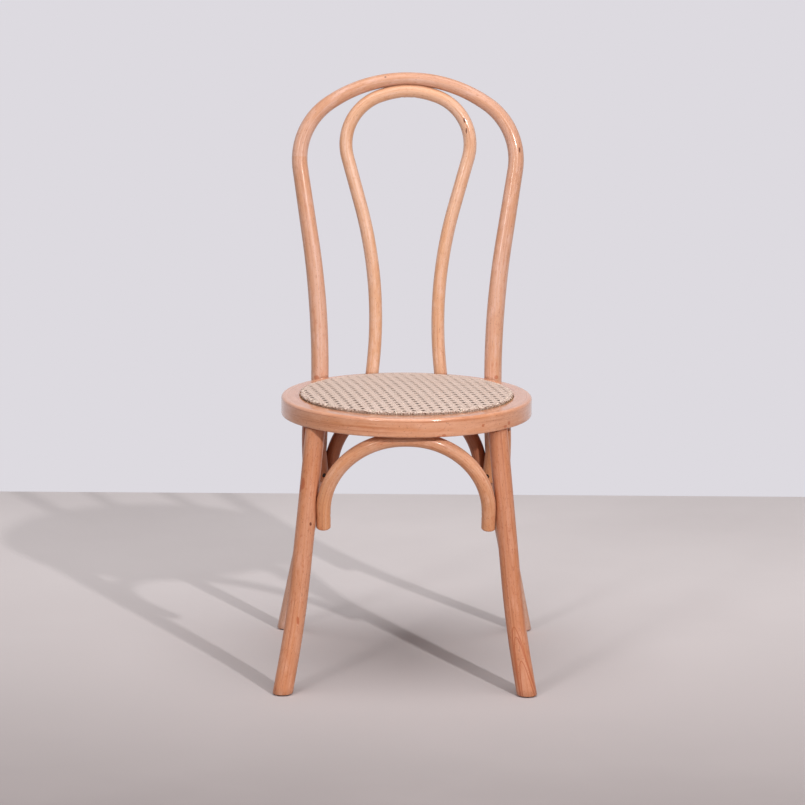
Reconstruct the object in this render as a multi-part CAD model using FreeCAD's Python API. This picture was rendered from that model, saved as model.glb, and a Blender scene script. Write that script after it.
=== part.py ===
import FreeCAD, Part
import math
import os

# Bentwood bistro chair with a double hoop back and a round cane seat, in millimetres.
# Seen from the front: +X is to the right, +Y to the rear, +Z up, and the floor is Z = 0.

# Seat ring and what it carries
seat_height = 447.0
ring_radius = 200.0
ring_width = 56.0
ring_thickness = 30.0
ring_top_round = 4.5
ring_bottom_round = 2.5
rebate_width = 26.5
rebate_depth = 12.0
board_thickness = 10.0
board_clearance = 0.5
cane_thickness = 3.0
cane_edge_rise = 5.0
cane_crown = 5.0
pad_edge_height = 3.4

# Back hoop and rear legs, one bent rod
post_diameter = 29.0
post_angle = 47.4
post_bite = 5.5
back_lean = 8.4
back_rise = 512.0
hoop_crest_diameter = 21.5
hoop_shoulder_diameter = 25.2
hoop_flare_height = 130.5
hoop_flare_bend = 1450.0
hoop_shoulder_half_width = 185.9
hoop_shoulder_drop = 76.8
hoop_shoulder_bend = 110.0
hoop_crest_spread = 39.7
post_seat_bend = 260.0
rear_foot_inset = 1.0
rear_foot_reach = 43.0
rear_knee_drop = 121.0
rear_knee_bend = 650.0

# Inner hoop
inner_diameter = 21.6
inner_bite = 2.0
inner_foot_inset = 14.0
inner_foot_half_width = 56.4
inner_neck_half_width = 41.3
inner_neck_height = 150.3
inner_neck_bend = 700.0
inner_shoulder_half_width = 119.7
inner_shoulder_drop = 31.9
inner_shoulder_bend = 83.0
inner_crest_spread = 5.7
inner_tenon_diameter = 16.0
inner_tenon_length = 18.0

# Front legs
leg_diameter = 31.0
front_foot_diameter = 32.4
leg_angle = 38.8
leg_inset = 17.0
front_foot_side_inset = 7.7
front_foot_front_inset = 25.0
front_knee_height = 115.0
front_knee_share = 0.59
front_knee_bend = 1150.0
leg_tenon_diameter = 20.0
leg_tenon_length = 20.0

# Arches under the seat
arch_diameter = 23.2
arch_bite = 0.8
arch_crown_bite = 2.5
arch_end_drop = 159.5
arch_screw_rise = 20.5
rear_arch_end_drop = 146.0
rear_arch_screw_rise = 11.0
side_arch_end_drop = 141.0
side_arch_screw_rise = 11.0
arch_crown_flat = 6.0
arch_inset = 35.0
side_arch_inset = 46.0
side_arch_front_turn = 18.0
side_arch_rear_turn = 24.0

# Screws, bolts and glides
screw_diameter = 3.8
screw_head_diameter = 7.4
screw_face_diameter = 5.4
screw_head_height = 2.4
screw_tip_length = 4.0
screw_grip = 12.0
hoop_screw_spacing = 21.0
bolt_diameter = 6.0
bolt_height = 10.0
bolt_head_diameter = 14.0
bolt_head_height = 3.6
bolt_seat_depth = 1.5
bolt_tail = 1.5
washer_diameter = 15.0
washer_thickness = 1.2
nut_flats = 10.0
nut_thickness = 5.0
board_screw_inset = 12.0
board_screw_angle = 20.0
board_screw_grip = 8.0
glide_diameter = 20.0
glide_height = 2.0
glide_pin_diameter = 3.0
glide_pin_length = 14.0

V = FreeCAD.Vector
UP = V(0, 0, 1)
ring_bottom = seat_height - ring_thickness
ring_middle = seat_height - ring_thickness / 2
ring_inner_radius = ring_radius - ring_width
rebate_radius = ring_inner_radius + rebate_width
rebate_floor = seat_height - rebate_depth
rear_knee_height = ring_bottom - rear_knee_drop
hoop_crest_bend = hoop_shoulder_half_width + hoop_crest_spread
inner_crest_bend = inner_shoulder_half_width + inner_crest_spread
rear_foot_x = ring_radius - rear_foot_inset
rear_foot_y = ring_radius + rear_foot_reach
front_foot_x = ring_radius - front_foot_side_inset
front_foot_y = front_foot_front_inset - ring_radius
head_room_depth = 2 * screw_head_height
reach = 4 * ring_radius
close = 0.001
halvings = 40
nut_sides = 6
half_turn = 180.0


def mirrored(point):
    return V(-point.x, point.y, point.z)


def on_circle(radius, degrees, height):
    angle = math.radians(degrees)
    return V(radius * math.cos(angle), radius * math.sin(angle), height)


def level(vector):
    return V(vector.x, vector.y, 0).normalize()


# A bent rod follows a route of corners (point, bend radius, diameter): straight runs
# joined by tangent arcs. Each arc is cut at its middle, where the corner's diameter holds.

def half_bends(before, point, after, bend):
    back = (before - point).normalize()
    ahead = (after - point).normalize()
    turn = math.pi - back.getAngle(ahead)
    start = point + back * (bend * math.tan(turn / 2))
    end = point + ahead * (bend * math.tan(turn / 2))
    inward = (back + ahead).normalize()
    middle = point + inward * (bend / math.cos(turn / 2) - bend)
    arc = Part.Arc(start, middle, end)
    halfway = arc.parameter(middle)
    first = arc.toShape(arc.FirstParameter, halfway)
    second = arc.toShape(halfway, arc.LastParameter)
    return start, end, first, second


def rod_path(corners):
    # Edges with the diameters at their two ends
    edges = []
    last = corners[0][0]
    stations = [(0.0, corners[0][2])]
    length = 0.0
    for index in range(1, len(corners) - 1):
        point, bend, diameter = corners[index]
        start, end, first, second = half_bends(corners[index - 1][0], point, corners[index + 1][0], bend)
        run = Part.makeLine(last, start)
        edges += [run, first, second]
        length += run.Length + first.Length
        stations.append((length, diameter))
        length += second.Length
        last = end
    run = Part.makeLine(last, corners[-1][0])
    edges.append(run)
    stations.append((length + run.Length, corners[-1][2]))
    return edges, stations


def diameter_at(stations, length):
    for (start, first), (end, second) in zip(stations, stations[1:]):
        if length <= end:
            return first + (second - first) * (length - start) / (end - start)
    return stations[-1][1]


def section(point, tangent, seam, diameter):
    circle = Part.Circle(point, tangent, diameter / 2)
    circle.XAxis = seam
    return Part.Wire([circle.toShape()])


def rod_segment(edge, first, second):
    start = edge.valueAt(edge.FirstParameter)
    end = edge.valueAt(edge.LastParameter)
    heading = edge.tangentAt(edge.FirstParameter)
    if edge.Curve.TypeId == "Part::GeomLine":
        if abs(first - second) < close:
            return Part.makeCylinder(first / 2, edge.Length, start, heading)
        return Part.makeCone(first / 2, second / 2, edge.Length, start, heading)
    seam = edge.Curve.Axis
    sections = [section(start, heading, seam, first)]
    if abs(first - second) >= close:
        sections.append(section(end, edge.tangentAt(edge.LastParameter), seam, second))
    return Part.Wire([edge]).makePipeShell(sections, True, False)


def bent_rod(corners):
    edges, stations = rod_path(corners)
    segments = []
    length = 0.0
    for edge in edges:
        first = diameter_at(stations, length)
        length += edge.Length
        segments.append(rod_segment(edge, first, diameter_at(stations, length)))
    rod = segments[0].multiFuse(segments[1:]).removeSplitter()
    return rod.Solids[0]


def axis_at(corners, height):
    # Point where the rod's centreline crosses a height, from its first corner on
    for edge in rod_path(corners)[0]:
        low = edge.FirstParameter
        high = edge.LastParameter
        if (edge.valueAt(low).z - height) * (edge.valueAt(high).z - height) > 0:
            continue
        rising = edge.valueAt(high).z > edge.valueAt(low).z
        for halving in range(halvings):
            middle = (low + high) / 2
            if (edge.valueAt(middle).z > height) == rising:
                high = middle
            else:
                low = middle
        return edge.valueAt(middle)


def crest_corner(shoulder_x, shoulder_up, crest_up, bend):
    # Height on the centre line of the corner whose bend peaks at crest_up
    centre_up = crest_up - bend
    distance = math.hypot(shoulder_x, centre_up - shoulder_up)
    slope = math.atan2(centre_up - shoulder_up, shoulder_x) + math.asin(bend / distance)
    return shoulder_up + shoulder_x * math.tan(slope)


def below(height):
    return Part.makeBox(2 * reach, 2 * reach, reach, V(-reach, -reach, height - reach))


def above(height):
    return Part.makeBox(2 * reach, 2 * reach, reach, V(-reach, -reach, height))


# Fasteners: origin is the outer face of the head, direction is the way they are driven

def wood_screw(origin, direction, length):
    shank_length = length - screw_head_height - screw_tip_length
    neck = origin + direction * screw_head_height
    tip = neck + direction * shank_length
    face_radius = screw_face_diameter / 2
    head = Part.makeCone(face_radius, screw_head_diameter / 2, screw_head_height, origin, direction)
    shank = Part.makeCylinder(screw_diameter / 2, shank_length, neck, direction)
    point = Part.makeCone(screw_diameter / 2, 0, screw_tip_length, tip, direction)
    return head.multiFuse([shank, point]).removeSplitter().Solids[0]


def counterbore(origin, direction, depth):
    # Room for a screw head, open towards the outside
    start = origin - direction * depth
    return Part.makeCylinder(screw_head_diameter / 2, depth + screw_head_height, start, direction)


def washer(origin, direction):
    disc = Part.makeCylinder(washer_diameter / 2, washer_thickness, origin, direction)
    hole = Part.makeCylinder(bolt_diameter / 2, washer_thickness, origin, direction)
    return disc.cut(hole)


def round_head_bolt(seat, direction, shank_length):
    # Half section turned about the bolt's axis, then stood on its seat
    head_radius = bolt_head_diameter / 2
    shank_radius = bolt_diameter / 2
    dome_radius = (head_radius ** 2 + bolt_head_height ** 2) / (2 * bolt_head_height)
    halfway = V(head_radius / 2, 0, dome_radius - bolt_head_height)
    halfway.z -= math.sqrt(dome_radius ** 2 - head_radius ** 2 / 4)
    corners = [
        V(0, 0, -bolt_head_height),
        V(0, 0, shank_length),
        V(shank_radius, 0, shank_length),
        V(shank_radius, 0, 0),
        V(head_radius, 0, 0),
    ]
    outline = [Part.makeLine(first, second) for first, second in zip(corners, corners[1:])]
    outline.append(Part.Arc(corners[-1], halfway, corners[0]).toShape())
    bolt = Part.Face(Part.Wire(outline)).revolve(V(0, 0, 0), UP, 360)
    bolt.Placement = FreeCAD.Placement(seat, FreeCAD.Rotation(UP, direction))
    return bolt


def hex_nut(origin, direction):
    corner = nut_flats / (2 * math.cos(math.pi / nut_sides))
    side = direction.cross(UP).normalize()
    corners = []
    for index in range(nut_sides + 1):
        angle = 2 * math.pi * index / nut_sides
        corners.append(origin + side * (corner * math.cos(angle)) + UP * (corner * math.sin(angle)))
    block = Part.Face(Part.makePolygon(corners)).extrude(direction * nut_thickness)
    return block.cut(Part.makeCylinder(bolt_diameter / 2, nut_thickness, origin, direction))


# Back hoop: its plane leans back from the middle of the ring's height

post_circle = ring_radius + post_diameter / 2 - post_bite
post_seat = on_circle(post_circle, post_angle, ring_middle)
lean = math.radians(back_lean)
hoop_crest_up = back_rise - hoop_crest_diameter / 2
hoop_shoulder_up = hoop_crest_up - hoop_shoulder_drop


def on_back(x, up):
    return V(x, post_seat.y + up * math.sin(lean), ring_middle + up * math.cos(lean))


hoop_corner_up = crest_corner(hoop_shoulder_half_width, hoop_shoulder_up, hoop_crest_up, hoop_crest_bend)
rear_foot = V(rear_foot_x, rear_foot_y, 0)
rear_knee = V(post_seat.x, post_seat.y, rear_knee_height)
rear_toe = rear_foot + (rear_foot - rear_knee).normalize() * post_diameter
hoop_side = [
    (rear_toe, 0, post_diameter),
    (rear_knee, rear_knee_bend, post_diameter),
    (post_seat, post_seat_bend, post_diameter),
    (on_back(post_seat.x, hoop_flare_height), hoop_flare_bend, post_diameter),
    (on_back(hoop_shoulder_half_width, hoop_shoulder_up), hoop_shoulder_bend, hoop_shoulder_diameter),
]
hoop_crest = (on_back(0, hoop_corner_up), hoop_crest_bend, hoop_crest_diameter)


def whole_hoop(side, crest):
    far_side = [(mirrored(point), bend, diameter) for point, bend, diameter in side]
    return side + [crest] + far_side[::-1]


back_hoop = bent_rod(whole_hoop(hoop_side, hoop_crest)).cut(below(glide_height))

# Inner hoop: stands on the ring and leans until its crest meets the back hoop

inner_drop = hoop_crest_diameter / 2 + inner_diameter / 2 - inner_bite
inner_crest = on_back(0, hoop_crest_up - inner_drop)
inner_foot_radius = ring_radius - inner_foot_inset
inner_foot_y = math.sqrt(inner_foot_radius ** 2 - inner_foot_half_width ** 2)
inner_foot = V(0, inner_foot_y, seat_height)
inner_up = (inner_crest - inner_foot).normalize()
inner_crest_up = (inner_crest - inner_foot).Length
inner_shoulder_up = inner_crest_up - inner_shoulder_drop
inner_half_width = inner_shoulder_half_width
inner_corner_up = crest_corner(inner_half_width, inner_shoulder_up, inner_crest_up, inner_crest_bend)


def on_inner(x, up):
    return inner_foot + inner_up * up + V(x, 0, 0)


inner_side = [
    (on_inner(inner_foot_half_width, 0), 0, inner_diameter),
    (on_inner(inner_neck_half_width, inner_neck_height), inner_neck_bend, inner_diameter),
    (on_inner(inner_shoulder_half_width, inner_shoulder_up), inner_shoulder_bend, inner_diameter),
]
inner_peak = (on_inner(0, inner_corner_up), inner_crest_bend, inner_diameter)
inner_start = inner_side[0][0]
inner_heading = (inner_side[1][0] - inner_start).normalize()
inner_side[0] = (inner_start - inner_heading * inner_diameter, 0, inner_diameter)
inner_back_hoop = bent_rod(whole_hoop(inner_side, inner_peak)).cut(below(seat_height)).cut(back_hoop)


def inner_tenon(start, heading):
    bottom = start - heading * inner_tenon_length
    peg = Part.makeCylinder(inner_tenon_diameter / 2, 2 * inner_tenon_length, bottom, heading)
    return peg.cut(above(seat_height))


inner_tenons = [
    inner_tenon(inner_start, inner_heading),
    inner_tenon(mirrored(inner_start), mirrored(inner_heading)),
]
inner_back_hoop = inner_back_hoop.multiFuse(inner_tenons)

# Front legs: a splayed rod that turns out a little more above the foot

leg_circle = ring_radius - leg_inset
leg_top = on_circle(leg_circle, -leg_angle, ring_bottom)
front_foot = V(front_foot_x, front_foot_y, 0)
front_knee = leg_top + (front_foot - leg_top) * front_knee_share
front_knee.z = front_knee_height
leg_heading = (leg_top - front_knee).normalize()
front_toe = front_foot + (front_foot - front_knee).normalize() * leg_diameter
right_leg_route = [
    (leg_top + leg_heading * leg_diameter, 0, leg_diameter),
    (front_knee, front_knee_bend, leg_diameter),
    (front_toe, 0, front_foot_diameter),
]


def front_leg(route, top, heading):
    rod = bent_rod(route).cut(below(glide_height)).cut(above(ring_bottom))
    start = top - heading * leg_tenon_diameter
    length = leg_tenon_diameter + leg_tenon_length
    tenon = Part.makeCylinder(leg_tenon_diameter / 2, length, start, heading)
    return rod.fuse(tenon.cut(below(ring_bottom))).removeSplitter()


left_leg_route = [(mirrored(point), bend, diameter) for point, bend, diameter in right_leg_route]
front_leg_right = front_leg(right_leg_route, leg_top, leg_heading)
front_leg_left = front_leg(left_leg_route, mirrored(leg_top), mirrored(leg_heading))

# Arches: each stands between two legs and leans out until its crown meets the ring

arch_crown_height = ring_bottom - arch_diameter / 2 + arch_crown_bite
front_touch = (leg_diameter + arch_diameter) / 2 - arch_bite
rear_touch = (post_diameter + arch_diameter) / 2 - arch_bite
front_screw_height = ring_bottom - arch_end_drop + arch_screw_rise
rear_screw_height = ring_bottom - rear_arch_end_drop + rear_arch_screw_rise
side_screw_height = ring_bottom - side_arch_end_drop + side_arch_screw_rise
front_axis = axis_at(right_leg_route, front_screw_height)
rear_axis = axis_at(hoop_side, rear_screw_height)
side_front_axis = axis_at(right_leg_route, side_screw_height)
side_rear_axis = axis_at(hoop_side, side_screw_height)


def beside(axis, distance, degrees):
    return axis + on_circle(distance, degrees, 0)


def arch_frame(first, last, crown):
    middle = (first + last) / 2
    along = (last - first).normalize()
    up = crown - middle
    up = (up - along * up.dot(along)).normalize()
    return middle, along, up


def arch_rod(first, last, crown, below_screw):
    middle, along, up = arch_frame(first, last, crown)
    half_span = (last - first).Length / 2
    rise = (arch_crown_height - first.z) / up.z
    drop = below_screw / up.z
    bend = half_span - arch_crown_flat / 2
    corners = [
        (first - up * drop, 0, arch_diameter),
        (first + up * rise, bend, arch_diameter),
        (last + up * rise, bend, arch_diameter),
        (last - up * drop, 0, arch_diameter),
    ]
    return bent_rod(corners)


def arch_crown(first, last, degrees, inset):
    # Crown point on the bisector between the two ends, under the ring
    middle = (first + last) / 2
    across = on_circle(1, degrees, 0)
    crown = middle + across * (ring_radius - inset - middle.dot(across))
    crown.z = arch_crown_height
    return crown


front_end = beside(front_axis, front_touch, half_turn)
rear_end = beside(rear_axis, rear_touch, half_turn)
side_front_end = beside(side_front_axis, front_touch, 90 + side_arch_front_turn)
side_rear_end = beside(side_rear_axis, rear_touch, -90 - side_arch_rear_turn)
side_span = side_rear_end - side_front_end
side_outward = math.degrees(math.atan2(-side_span.x, side_span.y))
left_front_end = mirrored(side_front_end)
left_rear_end = mirrored(side_rear_end)
side_turn = half_turn - side_outward
arch_ends = {
    "front_arch": (mirrored(front_end), front_end, -90, arch_inset, arch_screw_rise),
    "rear_arch": (mirrored(rear_end), rear_end, 90, arch_inset, rear_arch_screw_rise),
    "right_arch": (side_front_end, side_rear_end, side_outward, side_arch_inset, side_arch_screw_rise),
    "left_arch": (left_front_end, left_rear_end, side_turn, side_arch_inset, side_arch_screw_rise),
}
leg_axes = {
    "front_arch": (mirrored(front_axis), front_axis),
    "rear_arch": (mirrored(rear_axis), rear_axis),
    "right_arch": (side_front_axis, side_rear_axis),
    "left_arch": (mirrored(side_front_axis), mirrored(side_rear_axis)),
}

arches = {}
arch_end_screws = []
arch_top_screws = []
head_rooms = []
for name, (first, last, degrees, inset, below_screw) in arch_ends.items():
    crown = arch_crown(first, last, degrees, inset)
    arch = arch_rod(first, last, crown, below_screw)
    for leg in (front_leg_left, front_leg_right, back_hoop, above(ring_bottom)):
        arch = arch.cut(leg)
    arches[name] = arch
    for end, axis in zip((first, last), leg_axes[name]):
        outward = level(axis - end)
        start = end - outward * (arch_diameter / 2 - screw_head_height)
        arch_end_screws.append(wood_screw(start, outward, arch_diameter - screw_head_height + screw_grip))
        head_rooms.append(counterbore(start, outward, head_room_depth))
    start = crown - UP * (arch_diameter / 2 - screw_head_height)
    arch_top_screws.append(wood_screw(start, UP, arch_diameter - screw_head_height + screw_grip))
    head_rooms.append(counterbore(start, UP, head_room_depth))

# Screws that pull the inner hoop up against the back hoop, and its feet down on the ring

hoop_up = V(0, math.sin(lean), math.cos(lean))
crest_screws = []
for side in (-1, 1):
    start = inner_crest + V(side * hoop_screw_spacing / 2, 0, 0)
    start -= hoop_up * (inner_diameter / 2 - screw_head_height)
    crest_screws.append(wood_screw(start, hoop_up, inner_diameter - screw_head_height + screw_grip))
    head_rooms.append(counterbore(start, hoop_up, head_room_depth))

foot_screws = []
for foot, heading in ((inner_start, inner_heading), (mirrored(inner_start), mirrored(inner_heading))):
    start = foot - heading * ((seat_height - ring_bottom) / heading.z)
    foot_screws.append(wood_screw(start, heading, ring_thickness - inner_tenon_length + screw_grip))
    head_rooms.append(counterbore(start, heading, screw_head_height))

# Screws from inside the ring into the front legs' tenons, and up into the seat board

lock_screws = []
lock_height = ring_bottom + (rebate_floor - ring_bottom) / 2
for degrees in (-leg_angle, half_turn + leg_angle):
    outward = on_circle(1, degrees, 0)
    start = on_circle(ring_inner_radius, degrees, lock_height)
    lock_screws.append(wood_screw(start, outward, leg_circle - ring_inner_radius))
    head_rooms.append(counterbore(start, outward, screw_head_height))

board_screws = []
board_bearings = [
    board_screw_angle,
    half_turn - board_screw_angle,
    half_turn + board_screw_angle,
    -board_screw_angle,
]
for degrees in board_bearings:
    start = on_circle(ring_inner_radius + board_screw_inset, degrees, ring_bottom)
    board_screws.append(wood_screw(start, UP, rebate_floor - ring_bottom + board_screw_grip))
    head_rooms.append(counterbore(start, UP, screw_head_height))

# Seat ring: rebated for the board, notched round the posts, bored for tenons and screws


def rim_at(solid, height):
    return [
        edge
        for edge in solid.Edges
        if edge.Curve.TypeId == "Part::GeomCircle" and abs(edge.CenterOfMass.z - height) < close
    ]


ring = Part.makeCylinder(ring_radius, ring_thickness, V(0, 0, ring_bottom))
ring = ring.makeFillet(ring_top_round, rim_at(ring, seat_height))
ring = ring.makeFillet(ring_bottom_round, rim_at(ring, ring_bottom))
bore = Part.makeCylinder(ring_inner_radius, ring_thickness, V(0, 0, ring_bottom))
rebate = Part.makeCylinder(rebate_radius, rebate_depth, V(0, 0, rebate_floor))
seat_ring = ring.cut(bore).cut(rebate)

# Bolts through the posts and the ring, with a washer under the head and the nut

inner_seat_depth = washer_diameter ** 2 / (8 * ring_inner_radius)
bolts = []
washers = []
nuts = []
for degrees in (post_angle, half_turn - post_angle):
    inward = on_circle(-1, degrees, 0)
    height = ring_bottom + bolt_height
    outside = on_circle(post_circle + post_diameter / 2, degrees, height)
    inside = on_circle(ring_inner_radius, degrees, height)
    outer_seat = outside + inward * bolt_seat_depth
    spot = Part.makeCylinder(washer_diameter / 2, post_diameter / 2, outer_seat, inward * -1)
    back_hoop = back_hoop.cut(spot)
    inner_seat = inside - inward * inner_seat_depth
    recess = Part.makeCylinder(washer_diameter / 2, inner_seat_depth * 2, inner_seat, inward)
    seat_ring = seat_ring.cut(recess)
    head_face = outer_seat - inward * washer_thickness
    washers += [washer(head_face, inward), washer(inner_seat, inward)]
    nut_start = inner_seat + inward * washer_thickness
    nuts.append(hex_nut(nut_start, inward))
    shank_length = (nut_start - head_face).Length + nut_thickness + bolt_tail
    bolts.append(round_head_bolt(head_face, inward, shank_length))

# Seat board, pad and domed cane

board_radius = rebate_radius - board_clearance
board_top = rebate_floor + board_thickness
seat_board = Part.makeCylinder(board_radius, board_thickness, V(0, 0, rebate_floor))


def domed_profile(radius, bottom, edge_top, crown_top):
    # Half section of a disc whose top is part of a large sphere
    rise = crown_top - edge_top
    sphere = (radius ** 2 + rise ** 2) / (2 * rise)
    halfway = V(radius / 2, 0, crown_top - sphere + math.sqrt(sphere ** 2 - radius ** 2 / 4))
    corners = [V(0, 0, crown_top), V(0, 0, bottom), V(radius, 0, bottom), V(radius, 0, edge_top)]
    outline = [Part.makeLine(first, second) for first, second in zip(corners, corners[1:])]
    outline.append(Part.Arc(corners[-1], halfway, corners[0]).toShape())
    return Part.Face(Part.Wire(outline)).revolve(V(0, 0, 0), UP, 360)


cane_edge_top = seat_height + cane_edge_rise
pad_radius = board_radius - cane_thickness
pad_edge_top = board_top + pad_edge_height
seat_pad = domed_profile(pad_radius, board_top, pad_edge_top, pad_edge_top + cane_crown)
cane_seat = domed_profile(board_radius, board_top, cane_edge_top, cane_edge_top + cane_crown).cut(seat_pad)

# Glides nailed into the feet

glides = {}
feet = {
    "front_left_glide": mirrored(axis_at(right_leg_route, glide_height)),
    "front_right_glide": axis_at(right_leg_route, glide_height),
    "rear_left_glide": mirrored(axis_at(hoop_side, glide_height)),
    "rear_right_glide": axis_at(hoop_side, glide_height),
}
for name, foot in feet.items():
    base = V(foot.x, foot.y, 0)
    pad = Part.makeCylinder(glide_diameter / 2, glide_height, base)
    pin = Part.makeCylinder(glide_pin_diameter / 2, glide_height + glide_pin_length, base)
    glides[name] = pad.fuse(pin).removeSplitter()

# Fit the wood round what passes through it

woods = {
    "back_hoop": back_hoop,
    "inner_back_hoop": inner_back_hoop,
    "seat_ring": seat_ring.cut(back_hoop).cut(inner_back_hoop).cut(front_leg_left).cut(front_leg_right),
    "seat_board": seat_board,
    "front_leg_left": front_leg_left,
    "front_leg_right": front_leg_right,
}
woods.update(arches)
screws = arch_end_screws + arch_top_screws + crest_screws + foot_screws + lock_screws + board_screws
fittings = screws + head_rooms + bolts + list(glides.values())
nodes = {}
for name, wood in woods.items():
    near = [fitting for fitting in fittings if fitting.BoundBox.intersect(wood.BoundBox)]
    nodes[name] = wood.cut(near).removeSplitter()

nodes["seat_pad"] = seat_pad
nodes["cane_seat"] = cane_seat
nodes.update(glides)
nodes["arch_end_screws"] = Part.makeCompound(arch_end_screws)
nodes["arch_top_screws"] = Part.makeCompound(arch_top_screws)
nodes["hoop_crest_screws"] = Part.makeCompound(crest_screws)
nodes["inner_hoop_foot_screws"] = Part.makeCompound(foot_screws)
nodes["leg_lock_screws"] = Part.makeCompound(lock_screws)
nodes["seat_board_screws"] = Part.makeCompound(board_screws)
nodes["post_bolts"] = Part.makeCompound(bolts)
nodes["post_washers"] = Part.makeCompound(washers)
nodes["post_nuts"] = Part.makeCompound(nuts)

# The origin is on the floor, under the middle of the whole chair

whole = Part.makeCompound(list(nodes.values())).optimalBoundingBox(False)
to_origin = V(0, -(whole.YMin + whole.YMax) / 2, 0)
os.makedirs("parts", exist_ok=True)
for name, shape in nodes.items():
    placed = shape.copy()
    placed.translate(to_origin)
    placed.exportStep("parts/" + name + ".step")
    print(name, len(placed.Solids), placed.isValid(), round(placed.Volume))
print("moved in Y by", round(to_origin.y, 3))
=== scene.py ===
import math
import random

import bpy
import numpy as np
from mathutils import Matrix, Vector
from mathutils.bvhtree import BVHTree


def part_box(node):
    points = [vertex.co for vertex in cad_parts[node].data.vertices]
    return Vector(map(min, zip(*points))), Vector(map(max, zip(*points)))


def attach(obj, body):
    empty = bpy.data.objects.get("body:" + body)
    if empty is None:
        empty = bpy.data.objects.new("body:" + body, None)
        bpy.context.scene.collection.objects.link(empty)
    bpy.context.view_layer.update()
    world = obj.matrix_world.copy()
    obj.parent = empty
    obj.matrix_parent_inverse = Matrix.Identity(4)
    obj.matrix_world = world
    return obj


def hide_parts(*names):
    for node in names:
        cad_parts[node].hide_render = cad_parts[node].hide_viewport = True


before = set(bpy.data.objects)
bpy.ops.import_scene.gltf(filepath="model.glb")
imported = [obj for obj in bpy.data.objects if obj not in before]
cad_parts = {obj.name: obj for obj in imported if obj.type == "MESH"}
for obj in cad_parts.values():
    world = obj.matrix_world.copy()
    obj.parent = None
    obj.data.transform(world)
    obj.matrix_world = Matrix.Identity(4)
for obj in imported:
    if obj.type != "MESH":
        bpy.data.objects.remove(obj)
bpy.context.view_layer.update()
print("frame loaded:", len(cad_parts), "nodes")

mm = 0.001
body = "root"
ringLow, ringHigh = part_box("seat_ring")
centreY = (ringLow.y + ringHigh.y) / 2  # the ring's centre, all routes are drawn from it


# Small helpers

def rgb(red, green, blue):  # a screen colour, 0 to 255, as linear light
    def linear(value):
        value /= 255
        return value / 12.92 if value <= 0.04045 else ((value + 0.055) / 1.055) ** 2.4
    return (linear(red), linear(green), linear(blue), 1.0)


def unit(vector):
    vector = np.asarray(vector, float)
    return vector / np.linalg.norm(vector)


def onCircle(radius, degrees, height):
    angle = math.radians(degrees)
    return np.array([radius * math.cos(angle), radius * math.sin(angle), height])


def mirrored(point):
    return np.array([-point[0], point[1], point[2]])


def placed(points):  # millimetres about the ring's centre to metres in the frame
    return np.asarray(points, float) * mm + np.array([0, centreY, 0])


def meshObject(name, vertices, faces, smooth=True):
    mesh = bpy.data.meshes.new(name)
    mesh.from_pydata([tuple(v) for v in vertices], [], [tuple(f) for f in faces])
    mesh.polygons.foreach_set("use_smooth", [smooth] * len(mesh.polygons))
    mesh.update()
    piece = bpy.data.objects.new(name, mesh)
    bpy.context.scene.collection.objects.link(piece)
    return piece


def fromCentre(mesh):  # a mesh's points in millimetres about the ring's centre
    flat = np.zeros(len(mesh.vertices) * 3)
    mesh.vertices.foreach_get("co", flat)
    return (flat.reshape(-1, 3) - np.array([0, centreY, 0])) / mm


def setAttribute(mesh, name, kind, values):
    layer = mesh.attributes.new(name, kind, "POINT")
    layer.data.foreach_set("vector" if kind == "FLOAT_VECTOR" else "value", np.ravel(values))


def carve(piece, cutters):  # cuts the cutters' shapes out of the piece
    for cutter in cutters:
        change = piece.modifiers.new("cut", "BOOLEAN")
        change.operation = "DIFFERENCE"
        change.solver = "EXACT"
        change.object = cutter
    bpy.context.view_layer.update()
    graph = bpy.context.evaluated_depsgraph_get()
    made = bpy.data.meshes.new_from_object(piece.evaluated_get(graph))
    piece.modifiers.clear()
    old = piece.data
    piece.data = made
    made.name = piece.name
    bpy.data.meshes.remove(old)


def discard(pieces):
    for piece in pieces:
        mesh = piece.data
        bpy.data.objects.remove(piece)
        bpy.data.meshes.remove(mesh)


def tubeFaces(base, rows, sides):  # side faces of a tube whose rows of vertices start at base
    faces = []
    for row in range(rows - 1):
        for index in range(sides):
            following = (index + 1) % sides
            low, high = base + row * sides, base + (row + 1) * sides
            faces.append((low + index, low + following, high + following, high + index))
    return faces


def tubeEnds(base, rows, sides):
    last = base + (rows - 1) * sides
    return [tuple(range(base, base + sides))[::-1], tuple(range(last, last + sides))]


def dress(piece, material):
    piece.data.materials.clear()
    piece.data.materials.append(material)


def rod(name, start, direction, profile, sides=24):  # turned about an axis, profile is (along, radius)
    direction = unit(direction)
    side = unit(np.cross(direction, [0, 0, 1] if abs(direction[2]) < 0.9 else [1, 0, 0]))
    other = np.cross(direction, side)
    vertices = []
    for along, radius in profile:
        for index in range(sides):
            angle = 2 * math.pi * index / sides
            spoke = side * math.cos(angle) + other * math.sin(angle)
            vertices.append(start + direction * along + spoke * radius)
    faces = tubeFaces(0, len(profile), sides) + tubeEnds(0, len(profile), sides)
    return meshObject(name, placed(vertices), faces)


# Bent rods: a route of corners (point, bend radius, diameter), runs joined by arcs

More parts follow.
